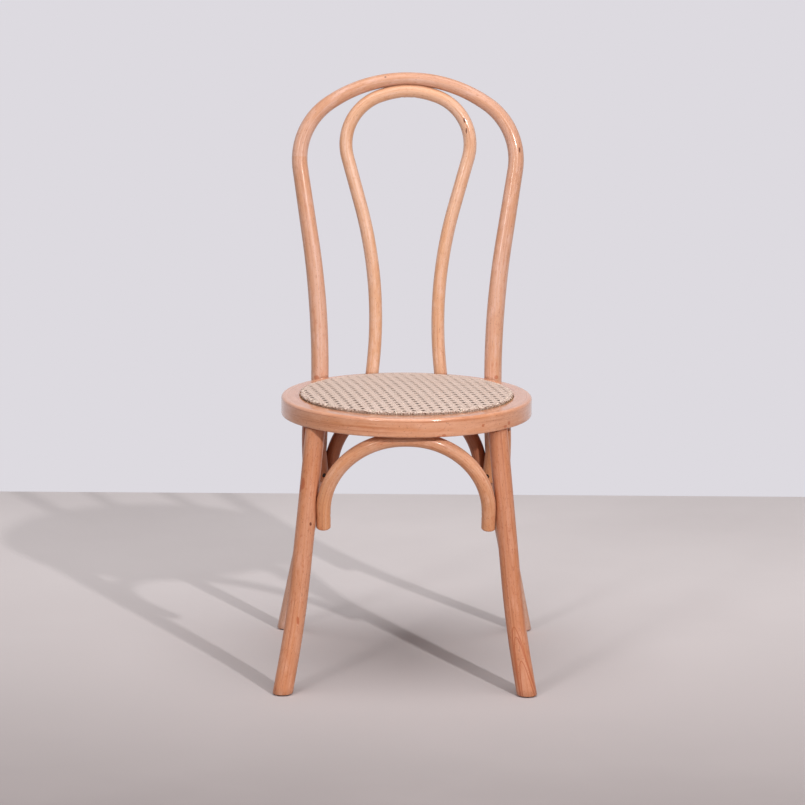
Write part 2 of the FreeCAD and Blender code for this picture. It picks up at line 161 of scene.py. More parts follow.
def bentLine(corners, step=4.0):
    points, tangents, lengths, stations = [], [], [0.0], [(0.0, corners[0][2])]
    last = np.asarray(corners[0][0], float)
    points.append(last)
    length = 0.0

    def run(end):
        nonlocal last, length
        distance = np.linalg.norm(end - last)
        heading = (end - last) / distance
        if not tangents:
            tangents.append(heading)
        count = max(1, math.ceil(distance / step))
        for index in range(1, count + 1):
            points.append(last + heading * distance * index / count)
            tangents.append(heading)
            lengths.append(length + distance * index / count)
        last, length = end, length + distance
        return heading

    for index in range(1, len(corners) - 1):
        point, bend, diameter = corners[index]
        back = unit(corners[index - 1][0] - point)
        ahead = unit(corners[index + 1][0] - point)
        turn = math.pi - math.acos(max(-1, min(1, back @ ahead)))
        start = point + back * bend * math.tan(turn / 2)
        centre = point + unit(back + ahead) * bend / math.cos(turn / 2)
        heading = run(start)
        spoke = (start - centre) / bend
        count = max(4, math.ceil(turn * bend / step))
        for part in range(1, count + 1):
            angle = turn * part / count
            points.append(centre + bend * (spoke * math.cos(angle) + heading * math.sin(angle)))
            tangents.append(heading * math.cos(angle) - spoke * math.sin(angle))
            lengths.append(length + angle * bend)
        stations.append((length + turn * bend / 2, diameter))
        last, length = points[-1], length + turn * bend
    run(np.asarray(corners[-1][0], float))
    stations.append((length, corners[-1][2]))
    diameters = np.interp(lengths, [s[0] for s in stations], [s[1] for s in stations])
    return carried(np.array(points), np.array(tangents), np.array(lengths), diameters)


def carried(points, tangents, lengths, diameters):  # turns a section's axes along the line without twist
    normal = unit(np.cross(tangents[0], [0.0, 1.0, 0.0]))
    normals = [normal]
    for before, after in zip(tangents, tangents[1:]):
        normal = unit(normal - after * (normal @ after))
        normals.append(normal)
    normals = np.array(normals)
    return {"points": points, "tangents": tangents, "lengths": lengths, "radii": diameters / 2,
            "normals": normals, "others": np.cross(tangents, normals)}


rodWaves = [(31, 1), (47, 2), (83, 0), (120, 1), (61, 3), (200, 2)]  # reach along the rod, turns around it


def bentRod(name, line, settings, startHeight=None, endHeight=None):
    sides, soft = settings["sides"], settings["edge"]
    angles = np.arange(sides) * 2 * math.pi / sides
    seed = random.Random(settings["seed"])
    count = len(rodWaves)
    phases = [seed.uniform(0, 2 * math.pi) for _ in range(count)]
    waves = sum(np.sin(line["lengths"][:, None] / reach + angles[None, :] * turns + phase)
                for (reach, turns), phase in zip(rodWaves, phases)) / count
    radii = line["radii"][:, None] - settings["unevenness"] * (0.5 + 0.5 * waves)
    spokes = (line["normals"][:, None, :] * np.cos(angles)[None, :, None]
              + line["others"][:, None, :] * np.sin(angles)[None, :, None])
    rows = line["points"][:, None, :] + spokes * radii[:, :, None]
    centres = list(line["points"])
    rows, tangents = list(rows), list(line["tangents"])

    def trimmed(rows, centres, tangents, height):  # cuts the rod's beginning at a level or square
        heading, middle = tangents[0], centres[0]
        if height is None:
            first = rows[0]
            inner = middle + (first - middle) * (1 - soft / line["radii"][0])
            rims, spots = [inner, first + heading * soft], [middle, middle + heading * soft]
            return rims + rows[1:], spots + centres[1:], tangents[:1] + tangents
        above = 1 if rows[len(rows) // 2][0][2] > height else -1
        clear = 2 * max(soft, 0.5)
        keep = next(index for index, row in enumerate(rows) if min((row[:, 2] - height) * above) > clear)
        row, heading, middle = rows[keep], tangents[keep], centres[keep]

        def onLevel(points, level):
            return points - heading * ((points[..., 2] - level) / heading[2])[..., None]

        ends, spots = [], []
        if soft > 0 and settings["softFeet"]:
            level = onLevel(row, height)
            spot = onLevel(middle[None, :], height)[0]
            ends.append(spot + (level - spot) * (1 - soft / line["radii"][0]))
            ends.append(onLevel(row, height + soft * above))
            spots += [spot, spot]
        else:
            ends.append(onLevel(row, height))
            spots.append(onLevel(middle[None, :], height)[0])
        return ends + rows[keep:], spots + centres[keep:], [heading] * len(ends) + tangents[keep:]

    rows, centres, tangents = trimmed(rows, centres, tangents, startHeight)
    rows, centres = rows[::-1], centres[::-1]
    rows, centres, _ = trimmed(rows, centres, [-t for t in tangents[::-1]], endHeight)
    rows, centres = rows[::-1], centres[::-1]
    vertices = [point for row in rows for point in row]
    faces = tubeFaces(0, len(rows), sides)
    for base, centre, flip in ((0, centres[0], True), ((len(rows) - 1) * sides, centres[-1], False)):
        hub = len(vertices)
        vertices.append(centre)
        for index in range(sides):
            pair = (base + index, base + (index + 1) % sides)
            faces.append((pair[1], pair[0], hub) if flip else (pair[0], pair[1], hub))
    vertices = np.array(vertices)
    if settings.get("ceiling"):
        vertices[:, 2] = np.minimum(vertices[:, 2], settings["ceiling"])
    return meshObject(name, placed(vertices), faces)


def grainAlong(piece, line):  # wood coordinates: along the rod, and across its section
    points = fromCentre(piece.data)
    nearest = np.zeros(len(points), int)
    atOnce = 4000  # points, to spare memory
    for first in range(0, len(points), atOnce):
        offsets = points[first:first + atOnce, None, :] - line["points"][None, :, :]
        nearest[first:first + atOnce] = (offsets ** 2).sum(2).argmin(1)
    offset = points - line["points"][nearest]
    grain = np.stack([line["lengths"][nearest] + (offset * line["tangents"][nearest]).sum(1),
                      (offset * line["normals"][nearest]).sum(1),
                      (offset * line["others"][nearest]).sum(1)], 1)
    setAttribute(piece.data, "grain", "FLOAT_VECTOR", grain * mm)


def crestCorner(shoulderX, shoulderUp, crestUp, bend):
    centreUp = crestUp - bend
    distance = math.hypot(shoulderX, centreUp - shoulderUp)
    slope = math.atan2(centreUp - shoulderUp, shoulderX) + math.asin(bend / distance)
    return shoulderUp + shoulderX * math.tan(slope)


def wholeHoop(side, crest):
    return side + [crest] + [(mirrored(point), bend, diameter) for point, bend, diameter in side[::-1]]


# Routes

ring = {"top": 447.0, "bottom": 417.0, "radius": 200.0, "bore": 144.0, "rebate": 170.5, "rebateFloor": 435.0,
        "topRound": 4.5, "bottomRound": 2.5, "innerRound": 1.2, "segments": 360, "unevenness": 0.25,
        "wavyFrom": 190.0}
ringMiddle = (ring["top"] + ring["bottom"]) / 2

backHoop = {"diameter": 29.0, "angle": 47.4, "bite": 5.5, "lean": 8.4, "rise": 512.0, "crestDiameter": 21.5,
            "shoulderDiameter": 25.2, "flareHeight": 130.5, "flareBend": 1450.0, "shoulderHalfWidth": 185.9,
            "shoulderDrop": 76.8, "shoulderBend": 110.0, "crestBend": 225.6, "seatBend": 260.0,
            "foot": (199.0, 243.0, 0.0), "kneeHeight": 296.0, "kneeBend": 650.0,
            "sides": 44, "seed": 3, "unevenness": 0.35, "edge": 1.0, "softFeet": True}
lean = math.radians(backHoop["lean"])
postRadius = ring["radius"] + backHoop["diameter"] / 2 - backHoop["bite"]
postSeat = onCircle(postRadius, backHoop["angle"], ringMiddle)
crestUp = backHoop["rise"] - backHoop["crestDiameter"] / 2
shoulderUp = crestUp - backHoop["shoulderDrop"]
shoulderX = backHoop["shoulderHalfWidth"]


def onBack(x, up):
    return np.array([x, postSeat[1] + up * math.sin(lean), ringMiddle + up * math.cos(lean)])


rearFoot = np.array(backHoop["foot"])
rearKnee = np.array([postSeat[0], postSeat[1], backHoop["kneeHeight"]])
thick = backHoop["diameter"]
hoopSide = [
    (rearFoot + unit(rearFoot - rearKnee) * thick, 0, thick),
    (rearKnee, backHoop["kneeBend"], thick),
    (postSeat, backHoop["seatBend"], thick),
    (onBack(postSeat[0], backHoop["flareHeight"]), backHoop["flareBend"], thick),
    (onBack(shoulderX, shoulderUp), backHoop["shoulderBend"], backHoop["shoulderDiameter"]),
]
crestHeight = crestCorner(shoulderX, shoulderUp, crestUp, backHoop["crestBend"])
hoopCrest = (onBack(0, crestHeight), backHoop["crestBend"], backHoop["crestDiameter"])
hoopLine = bentLine(wholeHoop(hoopSide, hoopCrest))

innerHoop = {"diameter": 21.6, "bite": 2.0, "footInset": 14.0, "footHalfWidth": 56.4, "neckHalfWidth": 41.3,
             "neckHeight": 150.3, "neckBend": 700.0, "shoulderHalfWidth": 119.7, "shoulderDrop": 31.9,
             "shoulderBend": 83.0, "crestBend": 125.4,
             "sides": 36, "seed": 5, "unevenness": 0.3, "edge": 0.0, "softFeet": False}
slim = innerHoop["diameter"]
innerCrest = onBack(0, crestUp - (backHoop["crestDiameter"] + slim) / 2 + innerHoop["bite"])
innerFootY = math.sqrt((ring["radius"] - innerHoop["footInset"]) ** 2 - innerHoop["footHalfWidth"] ** 2)
innerFoot = np.array([0, innerFootY, ring["top"]])
innerUp = unit(innerCrest - innerFoot)
innerCrestUp = np.linalg.norm(innerCrest - innerFoot)
innerShoulderUp = innerCrestUp - innerHoop["shoulderDrop"]
innerShoulderX = innerHoop["shoulderHalfWidth"]


def onInner(x, up):
    return innerFoot + innerUp * up + np.array([x, 0, 0])


innerStart = onInner(innerHoop["footHalfWidth"], 0)
innerNeck = onInner(innerHoop["neckHalfWidth"], innerHoop["neckHeight"])
innerHeading = unit(innerNeck - innerStart)
innerSide = [
    (innerStart - innerHeading * slim, 0, slim),
    (innerNeck, innerHoop["neckBend"], slim),
    (onInner(innerShoulderX, innerShoulderUp), innerHoop["shoulderBend"], slim),
]
innerPeak = crestCorner(innerShoulderX, innerShoulderUp, innerCrestUp, innerHoop["crestBend"])
innerLine = bentLine(wholeHoop(innerSide, (onInner(0, innerPeak), innerHoop["crestBend"], slim)))

legs = {"diameter": 31.0, "footDiameter": 32.4, "angle": 38.8, "inset": 17.0, "foot": (192.3, -175.0, 0.0),
        "kneeHeight": 115.0, "kneeShare": 0.59, "kneeBend": 1150.0,
        "sides": 44, "unevenness": 0.35, "edge": 1.0, "softFeet": True}
legTop = onCircle(ring["radius"] - legs["inset"], -legs["angle"], ring["bottom"])
frontFoot = np.array(legs["foot"])
frontKnee = legTop + (frontFoot - legTop) * legs["kneeShare"]
frontKnee[2] = legs["kneeHeight"]
legHeading = unit(legTop - frontKnee)
legRoute = [
    (legTop + legHeading * legs["diameter"], 0, legs["diameter"]),
    (frontKnee, legs["kneeBend"], legs["diameter"]),
    (frontFoot + unit(frontFoot - frontKnee) * legs["diameter"], 0, legs["footDiameter"]),
]
legLines = {
    "front_leg_right": bentLine(legRoute),
    "front_leg_left": bentLine([(mirrored(point), bend, diameter) for point, bend, diameter in legRoute]),
}

arches = {"diameter": 23.2, "bite": 0.8, "crownBite": 2.5, "front": {"screw": 278.0, "end": 257.5},
          "rear": {"screw": 282.0, "end": 271.0}, "side": {"screw": 287.0, "end": 276.0},
          "crownFlat": 6.0, "inset": 35.0, "sideInset": 46.0, "frontTurn": 18.0, "rearTurn": 24.0,
          "sides": 36, "unevenness": 0.3, "edge": 1.3, "softFeet": False, "ceiling": ring["bottom"]}
archCrown = ring["bottom"] - arches["diameter"] / 2 + arches["crownBite"]


def axisAt(line, height):  # on the chair's right side
    points = line["points"]
    index = int(np.argmin(np.abs(points[:, 2] - height) + np.where(points[:, 0] > 0, 0, ring["top"])))
    tangent = line["tangents"][index]
    return points[index] + tangent * (height - points[index][2]) / tangent[2]


def archEnd(line, place, touch, degrees):  # the rod's axis at the screw, and where the arch meets it
    axis = axisAt(line, arches[place]["screw"])
    return axis, axis + onCircle(touch, degrees, 0)


rightLeg = legLines["front_leg_right"]
frontTouch = (legs["diameter"] + arches["diameter"]) / 2 - arches["bite"]
rearTouch = (backHoop["diameter"] + arches["diameter"]) / 2 - arches["bite"]
frontAxis, frontEnd = archEnd(rightLeg, "front", frontTouch, 180)
rearAxis, rearEnd = archEnd(hoopLine, "rear", rearTouch, 180)
sideFrontAxis, sideFrontEnd = archEnd(rightLeg, "side", frontTouch, 90 + arches["frontTurn"])
sideRearAxis, sideRearEnd = archEnd(hoopLine, "side", rearTouch, -90 - arches["rearTurn"])
sideSpan = sideRearEnd - sideFrontEnd
sideOutward = math.degrees(math.atan2(-sideSpan[0], sideSpan[1]))
archEnds = {  # first and last end, the way it bulges, its distance inside the ring's edge, its heights
    "front_arch": (mirrored(frontEnd), frontEnd, -90, arches["inset"], "front"),
    "rear_arch": (mirrored(rearEnd), rearEnd, 90, arches["inset"], "rear"),
    "right_arch": (sideFrontEnd, sideRearEnd, sideOutward, arches["sideInset"], "side"),
    "left_arch": (mirrored(sideFrontEnd), mirrored(sideRearEnd), 180 - sideOutward, arches["sideInset"],
                  "side"),
}
legAxes = {
    "front_arch": (mirrored(frontAxis), frontAxis),
    "rear_arch": (mirrored(rearAxis), rearAxis),
    "right_arch": (sideFrontAxis, sideRearAxis),
    "left_arch": (mirrored(sideFrontAxis), mirrored(sideRearAxis)),
}


def archRoute(first, last, degrees, inset, heights):
    middle = (first + last) / 2
    across = onCircle(1, degrees, 0)
    crown = middle + across * (ring["radius"] - inset - middle @ across)
    crown[2] = archCrown
    along = unit(last - first)
    up = crown - middle
    up = unit(up - along * (up @ along))
    rise = (archCrown - heights["screw"]) / up[2]
    drop = (heights["screw"] - heights["end"]) / up[2]
    bend = np.linalg.norm(last - first) / 2 - arches["crownFlat"] / 2
    thickness = arches["diameter"]
    return crown, [(first - up * drop, 0, thickness), (first + up * rise, bend, thickness),
                   (last + up * rise, bend, thickness), (last - up * drop, 0, thickness)]


# Screws and their holes

screws = {"diameter": 3.8, "head": 7.4, "headHeight": 2.4, "tip": 4.0, "grip": 12.0, "slotWidth": 1.1,
          "slotDepth": 1.0, "hoopSpacing": 21.0, "holeReach": 8.0, "holeShare": 0.6, "sides": 28,
          "middle": (-0.08, 0.4), "dome": [(0.0, 0.517), (0.25, 0.799), (0.7, 0.985)], "point": 0.15,
          "sharpAngle": 40}
holes = {}


def screwSpot(piece, start, direction):  # the outer face of a head sunk in a piece
    holes.setdefault(piece, []).append((np.array(start), unit(direction)))


def holeCutters(piece):
    radius = screws["head"] / 2
    profile = [(-screws["holeReach"], radius), (screws["headHeight"] * screws["holeShare"], radius)]
    return [rod("hole", start, direction, profile) for start, direction in holes.get(piece, [])]


def addScrew(group, start, direction, length):
    screwSets.setdefault(group, []).append((start, direction, length))


screwSets = {}
archLines = {}
straightUp = np.array([0, 0, 1.0])
for name, (first, last, degrees, inset, place) in archEnds.items():
    crown, route = archRoute(first, last, degrees, inset, arches[place])
    archLines[name] = bentLine(route)
    sink = arches["diameter"] / 2 - screws["headHeight"]
    length = sink + arches["diameter"] / 2 + screws["grip"]
    for end, axis in zip((first, last), legAxes[name]):
        outward = unit((axis - end) * [1, 1, 0])
        screwSpot(name, end - outward * sink, outward)
        addScrew("arch_end_screws", end - outward * sink, outward, length)
    screwSpot(name, crown - straightUp * sink, straightUp)
    addScrew("arch_top_screws", crown - straightUp * sink, straightUp, length)
hoopUp = np.array([0, math.sin(lean), math.cos(lean)])
for side in (-1, 1):
    sink = innerHoop["diameter"] / 2 - screws["headHeight"]
    start = innerCrest + np.array([side * screws["hoopSpacing"] / 2, 0, 0]) - hoopUp * sink
    screwSpot("inner_back_hoop", start, hoopUp)
    addScrew("hoop_crest_screws", start, hoopUp, sink + slim / 2 + screws["grip"])


# Build the rods
footHeight = 2.0  # the feet stand on the glides
pieces = {}
pieces["back_hoop"] = bentRod("back_hoop_wood", hoopLine, backHoop, footHeight, footHeight)
pieces["inner_back_hoop"] = bentRod("inner_back_hoop_wood", innerLine, innerHoop, ring["top"], ring["top"])
for seed, (name, line) in enumerate(legLines.items()):
    pieces[name] = bentRod(name + "_wood", line, dict(legs, seed=20 + seed), ring["bottom"], footHeight)
for seed, (name, line) in enumerate(archLines.items()):
    pieces[name] = bentRod(name + "_wood", line, dict(arches, seed=40 + seed))
lines = dict(archLines, back_hoop=hoopLine, inner_back_hoop=innerLine, **legLines)
print("rods swept")


# Seat ring, turned from its section

def rounded(centreR, centreZ, radius, start, end, steps=5):
    angles = [math.radians(start + (end - start) * step / steps) for step in range(steps + 1)]
    return [(centreR + radius * math.cos(angle), centreZ + radius * math.sin(angle)) for angle in angles]


def straight(first, last):  # points along a straight side of the section, without its ends
    return [tuple(a + (b - a) * step / 6 for a, b in zip(first, last)) for step in range(1, 6)]


def ringSection():
    top, bottom, outer, floor = ring["top"], ring["bottom"], ring["radius"], ring["rebateFloor"]
    big, small, soft = ring["topRound"], ring["bottomRound"], ring["innerRound"]
    rebate, bore = ring["rebate"] + soft, ring["bore"] + soft
    section = rounded(outer - small, bottom + small, small, -90, 0)
    section += straight((outer, bottom + small), (outer, top - big))
    section += rounded(outer - big, top - big, big, 0, 90, 7)
    section += straight((outer - big, top), (rebate, top))
    section += rounded(rebate, top - soft, soft, 90, 180, 4)
    section += [(ring["rebate"], floor), (bore, floor)]
    section += rounded(bore, floor - soft, soft, 90, 180, 3)
    section += rounded(bore, bottom + soft, soft, 180, 270, 3)
    return section + straight((bore, bottom), (outer - small, bottom))


def turnedRing(name):
    section = ringSection()
    count, size, vertices, faces = ring["segments"], len(section), [], []
    for index in range(count):
        angle = 2 * math.pi * index / count
        wave = 0.5 + 0.25 * math.sin(3 * angle + 1.1) + 0.25 * math.sin(7 * angle + 0.4)
        for radius, height in section:
            if radius > ring["wavyFrom"]:
                radius -= ring["unevenness"] * wave
            vertices.append((radius * math.cos(angle), radius * math.sin(angle), height))
    for index in range(count):
        here, there = index * size, (index + 1) % count * size
        for row in range(size):
            step = (row + 1) % size
            faces.append((here + row, there + row, there + step, here + step))
    return meshObject(name, placed(vertices), faces)


pieces["seat_ring"] = turnedRing("seat_ring_wood")
print("ring turned")

# Cut what meets: notches for the posts, crowns and ends of the arches, holes for screws
carve(pieces["seat_ring"], [pieces["back_hoop"]])
cutters = holeCutters("inner_back_hoop")
carve(pieces["inner_back_hoop"], cutters + [pieces["back_hoop"]])
discard(cutters)
archNeighbours = {
    "front_arch": ["front_leg_left", "front_leg_right"],
    "rear_arch": ["back_hoop"],
    "right_arch": ["back_hoop", "front_leg_right"],
    "left_arch": ["back_hoop", "front_leg_left"],
}
for name, neighbours in archNeighbours.items():
    cutters = holeCutters(name)
    carve(pieces[name], cutters + [pieces[neighbour] for neighbour in neighbours])
    discard(cutters)
print("holes and notches cut")

for name, line in lines.items():
    grainAlong(pieces[name], line)
x, y, z = fromCentre(pieces["seat_ring"].data).T  # the ring's grain runs around it
around, outwards = np.arctan2(y, x) * ring["radius"], np.hypot(x, y) - ring["bore"]
ringGrain = np.stack([around, outwards, z - ring["bottom"]], 1)
setAttribute(pieces["seat_ring"].data, "grain", "FLOAT_VECTOR", ringGrain * mm)


# Dirt and painted shade near joints: how near a point is to another piece
def grimeAndShadeNear(piece, neighbours, reach):
    graph = bpy.context.evaluated_depsgraph_get()
    trees = [BVHTree.FromObject(neighbour, graph) for neighbour in neighbours]
    values = []
    for vertex in piece.data.vertices:
        nearest = reach
        for tree in trees:
            found = tree.find_nearest(vertex.co, reach)
            if found[3] is not None:
                nearest = min(nearest, found[3])
        values.append(1 - nearest / reach)
    setAttribute(piece.data, "grimeAndShade", "FLOAT", values)


touching = {
    "back_hoop": ["seat_ring", "inner_back_hoop", "rear_arch", "left_arch", "right_arch"],
    "inner_back_hoop": ["back_hoop", "seat_ring"],
    "seat_ring": ["back_hoop", "inner_back_hoop", "front_leg_left", "front_leg_right",
                  "front_arch", "rear_arch", "left_arch", "right_arch"],
    "front_leg_left": ["seat_ring", "front_arch", "left_arch"],
    "front_leg_right": ["seat_ring", "front_arch", "right_arch"],
    "front_arch": ["front_leg_left", "front_leg_right", "seat_ring"],
    "rear_arch": ["back_hoop", "seat_ring"],
    "left_arch": ["front_leg_left", "back_hoop", "seat_ring"],
    "right_arch": ["front_leg_right", "back_hoop", "seat_ring"],
}
grimeAndShadeReach = 0.007  # metres from the neighbouring piece
bpy.context.view_layer.update()
for name, others in touching.items():
    grimeAndShadeNear(pieces[name], [pieces[other] for other in others], grimeAndShadeReach)
print("wood coordinates set")


# One socket of a material; arithmetic on it adds Math nodes
class Wire:
    def __init__(self, finish, socket):
        self.finish, self.socket = finish, socket

    def sum(self, operation, *values):
        return self.finish.add("ShaderNodeMath", {"operation": operation}, dict(enumerate(values)))

    def __add__(self, other):
        return self.sum("ADD", self, other)

    def __sub__(self, other):
        return self.sum("SUBTRACT", self, other)

    def __rsub__(self, other):
        return self.sum("SUBTRACT", other, self)

    def __mul__(self, other):
        return self.sum("MULTIPLY", self, other)

    def __truediv__(self, other):
        return self.sum("DIVIDE", self, other)

    def __pow__(self, other):
        return self.sum("POWER", self, other)

    __radd__, __rmul__ = __add__, __mul__

    def sine(self):
        return self.sum("SINE", self)

    def size(self):
        return self.sum("ABSOLUTE", self)

    def lower(self, other):
        return self.sum("MINIMUM", self, other)

    def higher(self, other):
        return self.sum("MAXIMUM", self, other)

    def between(self, low, high):  # 0 below low, 1 above high, smooth from one to the other
        return self.finish.add("ShaderNodeMapRange", {"interpolation_type": "SMOOTHSTEP"},
                               {"Value": self, "From Min": low, "From Max": high})


class Finish:
    def __init__(self, name, store=bpy.data.materials):
        self.owner = store.new(name)
        self.owner.use_nodes = True
        self.tree = self.owner.node_tree
        self.tree.nodes.clear()

    def add(self, kind, settings, inputs, output=0):
        node = self.tree.nodes.new(kind)
        for key, value in settings.items():
            setattr(node, key, value)
        for key, value in inputs.items():
            socket = node.inputs[key] if isinstance(key, int) else next(
                plug for plug in node.inputs if key in (plug.identifier, plug.name))
            if isinstance(value, Wire):
                self.tree.links.new(value.socket, socket)
            else:
                socket.default_value = value
        return Wire(self, node.outputs[output]) if node.outputs else None

    def mix(self, share, first, second):  # colours
        return self.add("ShaderNodeMix", {"data_type": "RGBA"},
                        {"Factor_Float": share, "A_Color": first, "B_Color": second}, 2)

    def parts(self, vector):
        split = self.add("ShaderNodeSeparateXYZ", {}, {0: vector})
        return [Wire(self, output) for output in split.socket.node.outputs]

    def place(self):  # where a point lies on the piece, in metres
        return self.add("ShaderNodeTexCoord", {}, {}, "Object")

    def read(self, attribute, output):
        return self.add("ShaderNodeAttribute", {"attribute_name": attribute}, {}, output)

    def stretch(self, vector, scale, move=(0, 0, 0)):
        scaled = self.add("ShaderNodeVectorMath", {"operation": "MULTIPLY"}, {0: vector, 1: scale})
        return self.add("ShaderNodeVectorMath", {"operation": "ADD"}, {0: scaled, 1: move})

    def noise(self, vector, scale, move=(0, 0, 0), detail=2.0, roughness=0.5):
        place = self.stretch(vector, scale, move)
        return self.add("ShaderNodeTexNoise", {}, {
            "Vector": place, "Scale": 1.0, "Detail": detail, "Roughness": roughness, "Distortion": 0.0})

    def bump(self, strength, distance, height):
        return self.add("ShaderNodeBump", {}, {"Strength": strength, "Distance": distance, "Height": height})

    def surface(self, sockets):
        return self.close(self.add("ShaderNodeBsdfPrincipled", {}, sockets))

    def close(self, shader, output="ShaderNodeOutputMaterial"):
        self.add(output, {}, {"Surface": shader})
        return self.owner


def marksAt(finish, spots):  # knots and bruises at places on a piece, (x, y, z, size, stretch along z)
    place = finish.place()
    total = None
    for x, y, z, size, tall in spots:
        away = finish.add("ShaderNodeVectorMath", {"operation": "SUBTRACT"}, {0: place, 1: (x, y, z)})
        away = finish.stretch(away, (1 / size, 1 / size, 1 / (size * tall)))
        reach = finish.add("ShaderNodeVectorMath", {"operation": "LENGTH"}, {0: away}, 1)
        spot = 1 - reach.between(0.35, 1.0)
        total = spot if total is None else total.higher(spot)
    return total


wood = {"pale": (1.10, 1.17, 1.26), "warm": (0.93, 0.78, 0.60), "fibre": (0.68, 0.48, 0.35),
        "dark": (0.22, 0.12, 0.09), "rust": (0.72, 0.42, 0.28), "grimeAndShade": (0.45, 0.28, 0.20),
        "ringWidth": 0.0034, "roughness": 0.36, "specular": 0.25, "coatRoughness": 0.14,
        "noises": {  # scales along and across the grain, detail, roughness, in the order bentWood takes them
            "drift": (4, 26, 3.0, 0.5), "fibres": (14, 1300, 4.0, 0.65), "broad": (5, 55, 2.0, 0.5),
            "blotch": (34, 95, 4.0, 0.6), "mottle": (110, 260, 3.0, 0.6), "flecks": (150, 900, 1.0, 0.5),
            "specks": (420, 640, 0.0, 0.5), "lines": (7, 300, 2.0, 0.5)}}
grainArches = {"curve": 593, "steepness": 1.4e6, "drift": 0.004, "line": (0.0002, 0.0012),
               "depth": (0.002, 0.009)}


def tinted(tone, share):
    return tuple(min(1.0, a * b) for a, b in zip(tone, share)) + (1.0,)


def nestedArches(look, along, across, deep, drift):  # long grain loops on the outward face
    start, centre, slope, levels = look
    away = across - (along - start) * slope - centre + drift * grainArches["drift"]
    rise = along - start - away * away * grainArches["curve"]
    steep = (away * away * grainArches["steepness"] + 1) ** 0.5
    total = 0.0
    for level in levels:
        total = (1 - ((rise - level) / steep).size().between(*grainArches["line"])) + total
    return total * deep.between(*grainArches["depth"])


def bentWood(name, seed, look):
    finish = Finish(name)
    draw = random.Random(seed)
    tone = rgb(*look["tone"])
    grain, grimeAndShade = finish.read("grain", "Vector"), finish.read("grimeAndShade", "Fac")
    shift = tuple(draw.uniform(-9, 9) for _ in range(3))
    along, across, deep = finish.parts(grain)
    drift, fibres, broad, blotch, mottle, flecks, specks, lines = (
        finish.noise(grain, (length, breadth, breadth), shift, detail, roughness)
        for length, breadth, detail, roughness in wood["noises"].values())
    drift, flecks, specks = drift - 0.5, flecks.between(0.66, 0.76), specks.between(0.76, 0.83)
    pithAcross, pithDeep = draw.uniform(-0.02, 0.02), draw.uniform(0.02, 0.045)
    radial = ((across - pithAcross) * (across - pithAcross) + (deep - pithDeep) * (deep - pithDeep)) ** 0.5
    swaying = radial + drift * look.get("drift", 0.012)
    rings = (swaying * (2 * math.pi / wood["ringWidth"])).sine().between(-0.1, 1.0)

    def stained(colour, layers):  # lays shares of other tones over a colour
        for share, tint in layers:
            colour = finish.mix(share, colour, tinted(tone, tint))
        return colour

    colour = stained(tone, [(broad.between(0.36, 0.62) * 0.8, wood["warm"]),
                            (blotch.between(0.44, 0.70) * 0.7, wood["pale"])])
    for start, end, fadeIn, fadeOut, share, tint in look.get("bands", ()):  # lengths of another colour
        edge = along + (blotch - 0.5) * 0.004
        band = edge.between(start, start + fadeIn) - edge.between(end - fadeOut, end)
        colour = stained(colour, [(band * share, tint)])
    colour = stained(colour, [
        (rings * look.get("rings", 0.42), wood["warm"]),
        (fibres.between(0.48, 0.70) * 0.30, wood["fibre"]),
        (lines.between(0.56, 0.72) * 0.55, wood["fibre"]),
        ((1 - lines).between(0.56, 0.72) * 0.45, wood["pale"]),
        (mottle.between(0.52, 0.74) * look.get("mottle", 0.4), wood["rust"]),
        (flecks * 0.45 + specks * 0.45, wood["dark"]),
        # near joints the wood darkens: partly dirt, partly painted shade
        (grimeAndShade.between(0.25, 1.0) * 0.55, wood["grimeAndShade"])])
    if look.get("arches"):
        loops = nestedArches(look["arches"], along, across, deep, drift)
        colour = stained(colour, [(loops.lower(1.0) * 0.75, wood["rust"])])
    ragged = finish.noise(grain, (170, 640, 640), detail=4.0, roughness=0.7)
    for spots, share, tint in ((look.get("bruises"), 0.85, "rust"), (look.get("knots"), 0.9, "dark")):
        if spots:
            worn = (marksAt(finish, spots) * 0.75 + ragged - 0.62).between(0.0, 0.28)
            colour = stained(colour, [(worn * share, wood[tint])])
    height = fibres * 0.35 - flecks * 0.6 - lines * 0.3 + blotch * 0.25
    return finish.surface({
        "Base Color": colour, "Roughness": wood["roughness"] + fibres * 0.10 + flecks * 0.1 + grimeAndShade * 0.2,
        "Normal": finish.bump(0.10, 0.0004, height), "Coat Weight": look.get("coat", 0.2),
        "Coat Roughness": wood["coatRoughness"], "IOR": 1.45, "Specular IOR Level": wood["specular"]})


